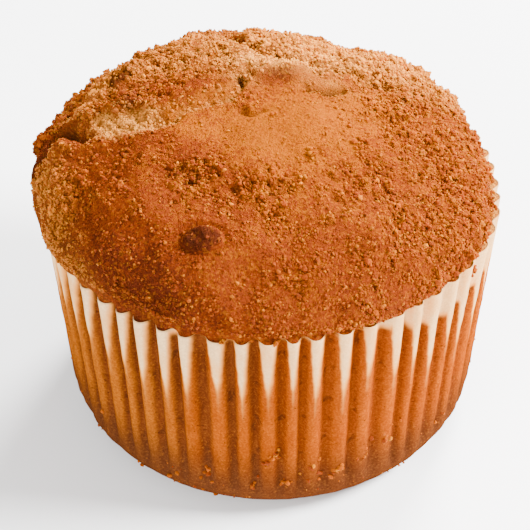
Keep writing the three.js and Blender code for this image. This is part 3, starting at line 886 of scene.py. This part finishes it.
def crust_shade(arc, angle):
    """The crust's colour at these places, with its painted shade and highlight, and how far the grains there
    take it and the painted glare on.
    """
    points, masks, x, y = crown_surface(arc, angle)
    tone, _ = crust_colours(x, y, points, masks)
    brown, pale, dark = tone[:, 0:1], tone[:, 1:2], tone[:, 3:4]
    first, second = ramp(0.0, 0.45, brown), ramp(0.45, 0.95, brown)
    colour = np.array(GOLDEN) * (1 - first) + np.array(ORANGE) * first
    colour = colour * (1 - second) + np.array(BROWNED) * second
    colour = colour * (1 - pale) + np.array(PALE) * pale
    colour = colour * (1 - 0.8 * dark) + 0.8 * dark * np.array(DARK)
    share = 0.35 + 0.35 * np.clip(pale + dark, 0, 1) + 0.2 * (1 - tone[:, 2:3])
    glare = 0.48 * painted_glare_zone(x, y)[:, None]
    return colour * 1.1, share, glare


def make_crumbs(name, groups, weight, sizes, shades, seed, form, sink=0.2, members=1, spread=0.0):
    """Broken grains on the crust, alone or stuck together in groups, as one mesh with a shade per grain."""
    draw = np.random.default_rng(seed)
    arc, angle = scatter(groups, weight, seed + 1)
    count = groups * members
    arc, angle = np.repeat(arc, members), np.repeat(angle, members)
    arc = np.minimum(arc + spread * draw.normal(size=count), CROWN_ARC * 0.995)
    angle = angle + spread * draw.normal(size=count) / np.maximum(arc, 1.0)
    at, _, _, _ = crown_surface(arc, angle)
    normal = crust_normal(arc, angle, at)
    size = sizes[0] + (sizes[1] - sizes[0]) * draw.random(count) ** 2.2
    at = at + normal * (spread * 0.8 * draw.random(count) ** 2)[:, None]
    return grain_mesh(name, at, normal, size, shades, draw, form, sink, crust_shade(arc, angle))


def random_turns(count, draw):
    """Rotation matrices in every direction."""
    turn = draw.normal(size=(count, 4))
    turn /= np.linalg.norm(turn, axis=1)[:, None]
    w, i, j, k = turn.T
    return np.stack([
        1 - 2 * (j * j + k * k), 2 * (i * j - k * w), 2 * (i * k + j * w),
        2 * (i * j + k * w), 1 - 2 * (i * i + k * k), 2 * (j * k - i * w),
        2 * (i * k - j * w), 2 * (j * k + i * w), 1 - 2 * (i * i + j * j),
    ], axis=1).reshape(count, 3, 3)


def grain_mesh(name, at, normal, size, shades, draw, form, sink, crust=None):
    """One mesh of many broken grains, each sunk into the surface below by a share of its size."""
    count = len(at)
    make_form, roughness = form
    corners, faces = make_form()
    spin = random_turns(count, draw)
    stretch = 0.65 + 0.7 * draw.random((count, 1, 3))
    jitter = 1 + roughness * (draw.random((count, len(corners), 1)) - 0.5)
    local = corners[None] * stretch * jitter * size[:, None, None]
    local = np.einsum("nij,nkj->nki", spin, local)
    centre = at + normal * (size * (0.5 - sink))[:, None]
    points = (local + centre[:, None]).reshape(-1, 3)
    offset = (np.arange(count) * len(corners))[:, None, None]
    faces = (faces[None] + offset).reshape(-1, 3)
    pick = draw.choice(len(shades), size=count, p=[share for share, _ in shades])
    base = np.array([colour for _, colour in shades])[pick]
    # The grains take on the crust's colour below them, painted shade included, and the painted glare.
    if crust is not None:
        own, share, glare = crust
        base = base * (1 - share) + own * share
        base = base * (1 - glare) + np.array(PAINTED_GLARE) * glare
    base = base * (0.82 + 0.36 * draw.random((count, 1)))
    colour = np.repeat(np.hstack([base, np.ones((count, 1))]), len(corners), axis=0)
    return make_mesh(name, points, faces, {"shade": colour}, smooth=False)


def make_paper_crumbs():
    """Loose crumbs that stick to the outside of the case, most of them low down."""
    draw = np.random.default_rng(70)
    count = PAPER_CRUMBS
    angle = 2 * np.pi * draw.random(count)
    height = 3.0 + 11 * draw.random(count) ** 1.3
    high = draw.random(count) < 0.10
    height = np.where(high, 8 + 26 * draw.random(count), height)
    start = 0
    for degrees, level, spread, members in PAPER_CRUMB_PATCHES:
        end = start + members
        angle[start:end] = np.radians(degrees + spread * draw.normal(size=members))
        height[start:end] = level + 0.6 * spread * draw.normal(size=members)
        start = end
    height = np.maximum(height, 1.0)
    turn = np.arcsin(np.clip(height / EDGE_ROUND - 1, -1, 0))
    low = (turn + np.pi / 2) / (np.pi / 2 - CASE_LEAN)
    side = 1 + (height - SIDE_START) / (rim_height(angle) - SIDE_START)
    t = np.where(height < SIDE_START, np.clip(low, 0, 1), side)
    at = around(angle, *case_point(angle, t))
    normal = around(angle, 1.0, np.zeros(count))
    size = 0.13 + 0.28 * draw.random(count) ** 2.4
    size[:start] = 0.18 + 0.28 * draw.random(start)
    return grain_mesh("paper_crumbs", at, normal, size, PAPER_CRUMB_SHADES, draw, CRUMB, 0.15)


# Materials

class Nodes:
    """A small helper that adds shader nodes and links them."""

    def __init__(self, name, roughness, specular):
        self.material = bpy.data.materials.new(name)
        self.material.use_nodes = True
        self.tree = self.material.node_tree
        self.shader = self.tree.nodes["Principled BSDF"]
        self.put(self.shader.inputs["Roughness"], roughness)
        self.put(self.shader.inputs["Specular IOR Level"], specular)

    def add(self, kind, **values):
        node = self.tree.nodes.new(kind)
        for key, value in values.items():
            if hasattr(node, key) and key not in node.inputs:
                setattr(node, key, value)
            else:
                self.put(node.inputs[key], value)
        return node

    def put(self, socket, value):
        if isinstance(value, bpy.types.NodeSocket):
            self.tree.links.new(value, socket)
        else:
            socket.default_value = value

    def attribute(self, name):
        """The red, green, blue and alpha of a mesh colour."""
        node = self.add("ShaderNodeAttribute", attribute_name=name)
        parts = self.add("ShaderNodeSeparateColor", Color=node.outputs["Color"])
        return parts.outputs["Red"], parts.outputs["Green"], parts.outputs["Blue"], node.outputs["Alpha"]

    def place(self):
        return self.add("ShaderNodeTexCoord").outputs["Object"]

    def noise(self, size, detail=2.0, where=None, rough=0.5):
        """Noise with lumps of the given size in millimetres."""
        node = self.add("ShaderNodeTexNoise", Scale=1.0 / (size * MM), Detail=detail, Roughness=rough)
        self.put(node.inputs["Vector"], where or self.place())
        return node.outputs["Fac"]

    def maths(self, operation, a, b):
        node = self.add("ShaderNodeMath", operation=operation)
        self.put(node.inputs[0], a)
        self.put(node.inputs[1], b)
        return node.outputs[0]

    def scaled(self, value, factor):
        return self.maths("MULTIPLY", value, factor)

    def vary(self, value, source, amount):
        """The value moved up and down by a noise."""
        return self.maths("ADD", value, self.scaled(self.maths("SUBTRACT", source, 0.5), amount))

    def span(self, value, a, b, to_a=0.0, to_b=1.0):
        """Smooth step from to_a to to_b as the value goes from a to b."""
        node = self.add("ShaderNodeMapRange")
        node.interpolation_type = "SMOOTHSTEP"
        sockets = ("Value", "From Min", "From Max", "To Min", "To Max")
        for socket, number in zip(sockets, (value, a, b, to_a, to_b)):
            self.put(node.inputs[socket], number)
        return node.outputs["Result"]

    def mix(self, factor, a, b, blend="MIX"):
        node = self.tree.nodes.new("ShaderNodeMix")
        node.data_type = "RGBA"
        node.blend_type = blend
        self.put(node.inputs["Factor"], factor)
        self.put(node.inputs[6], a if isinstance(a, bpy.types.NodeSocket) else (*a, 1.0))
        self.put(node.inputs[7], b if isinstance(b, bpy.types.NodeSocket) else (*b, 1.0))
        return node.outputs[2]

    def bump(self, height, distance, strength=1.0, normal=None):
        node = self.add("ShaderNodeBump", Strength=strength, Distance=distance * MM)
        self.put(node.inputs["Height"], height)
        if normal is not None:
            self.put(node.inputs["Normal"], normal)
        return node.outputs["Normal"]

    def soften(self, weight, spread):
        """Lets light into the food. spread is how far red, green and blue go, as shares of LIGHT_DEPTH."""
        self.put(self.shader.inputs["Subsurface Weight"], weight)
        self.put(self.shader.inputs["Subsurface Radius"], spread)
        self.put(self.shader.inputs["Subsurface Scale"], LIGHT_DEPTH * MM)

    def finish(self, colour, normal=None):
        self.put(self.shader.inputs["Base Color"], colour)
        if normal is not None:
            self.put(self.shader.inputs["Normal"], normal)
        return self.material


def crust_material():
    n = Nodes("crust", 0.8, 0.0)
    # The tone's pale part includes a painted highlight, and its dark part painted shade as well as the chips'
    # colour.
    brown, pale, cover, dark = n.attribute("tone")
    grain, _, _, _ = n.attribute("grain")
    blotch = n.noise(2.4, 3.0)
    fine = n.noise(0.5, 3.0, rough=0.6)
    fleck = n.noise(0.75, 3.0, rough=0.6)
    pit = n.noise(0.62, 2.0)

    # Plain crust, from golden to brown.
    level = n.vary(n.vary(brown, blotch, 0.5), fine, 1.5)
    colour = n.mix(n.span(level, 0.0, 0.45), GOLDEN, ORANGE)
    colour = n.mix(n.span(level, 0.45, 0.95), colour, BROWNED)

    # Crumbly crust with a painted highlight on its raised grains and painted shade in the gaps between them,
    # light flecks, bare crumb, pits with painted shade, and dark places.
    crumbly = n.mix(n.span(grain, 0.3, 0.85), CRUMB_GAP_SHADE, SUGAR_AND_HIGHLIGHT)
    crumbly = n.mix(n.span(fine, 0.35, 0.7), crumbly, n.mix(0.5, crumbly, GOLDEN))
    colour = n.mix(n.scaled(cover, 0.75), colour, crumbly)
    colour = n.mix(n.scaled(n.span(fleck, 0.53, 0.66), 0.5), colour, n.mix(0.5, colour, FLECK))
    bare = n.mix(n.span(fine, 0.38, 0.62), PALE_SHADE, PALE)
    bare = n.mix(n.span(blotch, 0.45, 0.65), bare, n.mix(0.5, bare, GOLDEN))
    colour = n.mix(pale, colour, bare)
    colour = n.mix(n.scaled(n.span(pit, 0.34, 0.28), 0.75), colour, n.mix(pale, CRUMB_GAP_SHADE, PALE_SHADE))
    # Painted shade in hollows, cracks and the cave, and the chips' own dark colour.
    colour = n.mix(dark, colour, DARK)
    normal = n.bump(n.noise(0.25, 2.0), 0.22, 1.0, n.bump(fine, 0.6))
    n.soften(0.12, (1.0, 0.45, 0.2))
    return n.finish(colour, normal)


def crumb_material(name, roughness, specular):
    n = Nodes(name, roughness, specular)
    shade = n.add("ShaderNodeAttribute", attribute_name="shade").outputs["Color"]
    fine = n.noise(0.3, 2.0)
    colour = n.mix(n.span(fine, 0.3, 0.7), n.mix(0.35, shade, BROWNED), shade)
    n.put(n.shader.inputs["Specular Tint"], (*GLINT, 1.0))
    n.soften(0.25, (1.0, 0.5, 0.25))
    return n.finish(colour, n.bump(fine, 0.15, 0.6))


def paper_material():
    n = Nodes("paper", 0.8, 0.0)
    dry, ridge, share, warm = n.attribute("tone")
    stretched = n.add("ShaderNodeMapping", Vector=n.place())
    stretched.inputs["Scale"].default_value = (1.0, 1.0, 0.35)
    lengthwise = stretched.outputs["Vector"]
    blotch = n.noise(3.0, 3.0, lengthwise)
    streak = n.noise(0.8, 2.0, lengthwise)
    broad = n.noise(11.0, 2.0)
    fibre = n.noise(0.38, 3.0, rough=0.6)

    # Greasy paper: orange ridges, brown valleys with painted shade and spots of deeper painted shade, and a
    # browner foot.
    ridge_colour = n.mix(n.span(blotch, 0.3, 0.7), RIDGE, RIDGE_DEEP)
    ridge_colour = n.mix(n.scaled(warm, 0.35), ridge_colour, WARM_RIDGE)
    ridge_colour = n.mix(n.span(warm, 0.30, 0.0, 0.0, 0.7), ridge_colour, GOLD_PAPER)
    shaded_valley_colour = n.mix(n.span(blotch, 0.38, 0.62), SHADED_VALLEY, SHADED_VALLEY_DEEP)
    shaded_valley_colour = n.mix(n.span(warm, 0.45, 1.0, 0.15, 0.75), shaded_valley_colour, WARM_PAPER)
    greased = n.mix(n.span(n.vary(ridge, blotch, 0.9), 0.06, 0.74), shaded_valley_colour, ridge_colour)
    in_valley = n.span(ridge, 0.6, 0.1, 0.0, 0.6)
    valley_shade_spots = n.maths("MULTIPLY", n.span(n.noise(2.4, 3.0), 0.57, 0.68), in_valley)
    greased = n.mix(valley_shade_spots, greased, VALLEY_SHADE_SPOT)
    greased = n.mix(n.span(n.vary(share, broad, 0.12), 0.44, 0.15, 0.0, 0.92), greased, BASE_PAPER)
    greased = n.mix(n.span(fibre, 0.40, 0.60), n.mix(1.0, greased, FIBRE_SHADE, "MULTIPLY"), greased)
    greased = n.mix(n.span(fibre, 0.60, 0.70, 0.0, 0.25), greased, FLECK)
    greased = n.mix(n.span(n.noise(0.6, 2.0), 0.67, 0.71, 0.0, 0.75), greased, DARK)

    # Dry white paper, and the peach-coloured border between the two.
    white = n.mix(n.span(fibre, 0.35, 0.65), DRY_PAPER_SHADE, DRY_PAPER)
    white = n.mix(n.span(blotch, 0.42, 0.68), white, n.mix(0.5, white, PEACH))
    white = n.mix(n.scaled(warm, 0.35), white, PEACH)
    white = n.mix(n.span(streak, 0.45, 0.68, 0.0, 0.45), white, DRY_PAPER_SHADE)
    half_dry = n.mix(n.span(dry, 0.0, 0.55), greased, PEACH)
    colour = n.mix(n.span(dry, 0.35, 0.95), half_dry, white)
    return n.finish(colour, n.bump(fibre, 0.15, 0.7))


# Build

def build_cake_and_case():
    cake = make_cake()
    cake.data.materials.append(crust_material())
    flake = make_flake()
    flake.data.materials.append(cake.data.materials[0])
    case = make_case()
    case.data.materials.append(paper_material())
    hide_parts("cake")
    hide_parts("paper_case")
    for piece in (cake, flake, case):
        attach(piece, "root")


def build_crumbs():
    glossy = crumb_material("crumb_grain", 0.5, 0.015)
    dull = crumb_material("crumb_clump", 0.6, 0.0)
    pieces = []
    for part in (1, 2):
        pieces.append(make_crumbs(
            f"sugar_grains_{part}", SUGAR_GRAINS, grain_weight, (0.12, 0.34), GRAIN_SHADES, 40 + part, GRAIN,
        ))
    pieces.append(make_crumbs(
        "small_crumbs", SMALL_GROUPS, grain_weight, (0.16, 0.36), GRAIN_SHADES, 50, CRUMB,
        sink=0.35, members=4, spread=0.38,
    ))
    pieces.append(make_crumbs(
        "torn_crumbs", TORN_GROUPS, torn_weight, (0.14, 0.34), TORN_SHADES, 80, CRUMB,
        sink=0.6, members=3, spread=0.3,
    ))
    clumps = make_crumbs(
        "streusel_crumbs", CLUMPS, clump_weight, (0.2, 0.52), STREUSEL_SHADES, 60, CRUMB,
        sink=0.4, members=8, spread=0.6,
    )
    pieces += [clumps, make_paper_crumbs()]
    for piece in pieces:
        piece.data.materials.append(dull if piece is clumps else glossy)
        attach(piece, "root")


def area_light(name, place, target, size, power):
    data = bpy.data.lights.new(name, "AREA")
    data.shape = "DISK"
    data.size = size * MM
    data.energy = power
    made = bpy.data.objects.new(name, data)
    made.location = Vector(place) * MM
    made.rotation_euler = (Vector(target) - Vector(place)).to_track_quat("-Z", "Y").to_euler()
    bpy.context.scene.collection.objects.link(made)


def build_studio():
    """A pale floor, even light from all round, and soft lamps at the right, behind and at the front left."""
    corners = [(-1, -1, 0), (1, -1, 0), (1, 1, 0), (-1, 1, 0)]
    floor = make_mesh("floor", np.array(corners) * FLOOR_HALF, [(0, 1, 2, 3)])
    floor.data.materials.append(Nodes("floor", 0.9, 0.2).finish((*STUDIO_FLOOR, 1.0)))
    world = bpy.data.worlds.new("studio")
    world.use_nodes = True
    sky = world.node_tree.nodes["Background"]
    sky.inputs["Color"].default_value = (1.0, 1.0, 1.0, 1.0)
    sky.inputs["Strength"].default_value = SKY_STRENGTH
    bpy.context.scene.world = world
    for lamp in LAMPS:
        area_light(*lamp)


def build_camera():
    data = bpy.data.cameras.new("camera")
    data.sensor_width = SENSOR
    data.lens = SENSOR * FOCAL_LENGTH
    data.shift_x = -(AXIS[0] - PICTURE / 2) / PICTURE
    data.shift_y = (AXIS[1] - PICTURE / 2) / PICTURE
    data.clip_start = 0.01
    data.clip_end = 20.0
    camera = bpy.data.objects.new("camera", data)
    bpy.context.scene.collection.objects.link(camera)
    elevation = math.radians(CAMERA_HEIGHT)
    back = Vector((0, -math.cos(elevation), math.sin(elevation)))
    camera.location = (Vector((0, 0, RIM_HEIGHT / 2)) + back * CAMERA_DISTANCE) * MM
    camera.rotation_mode = "QUATERNION"
    camera.rotation_quaternion = (-back).to_track_quat("-Z", "Y")
    bpy.context.scene.camera = camera


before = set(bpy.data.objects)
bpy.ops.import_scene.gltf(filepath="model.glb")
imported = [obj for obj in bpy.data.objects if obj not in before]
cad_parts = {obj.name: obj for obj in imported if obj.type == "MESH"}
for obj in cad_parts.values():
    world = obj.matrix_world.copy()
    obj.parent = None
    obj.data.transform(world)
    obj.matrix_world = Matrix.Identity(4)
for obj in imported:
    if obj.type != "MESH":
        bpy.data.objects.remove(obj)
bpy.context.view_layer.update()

build_cake_and_case()
build_crumbs()
build_studio()
build_camera()
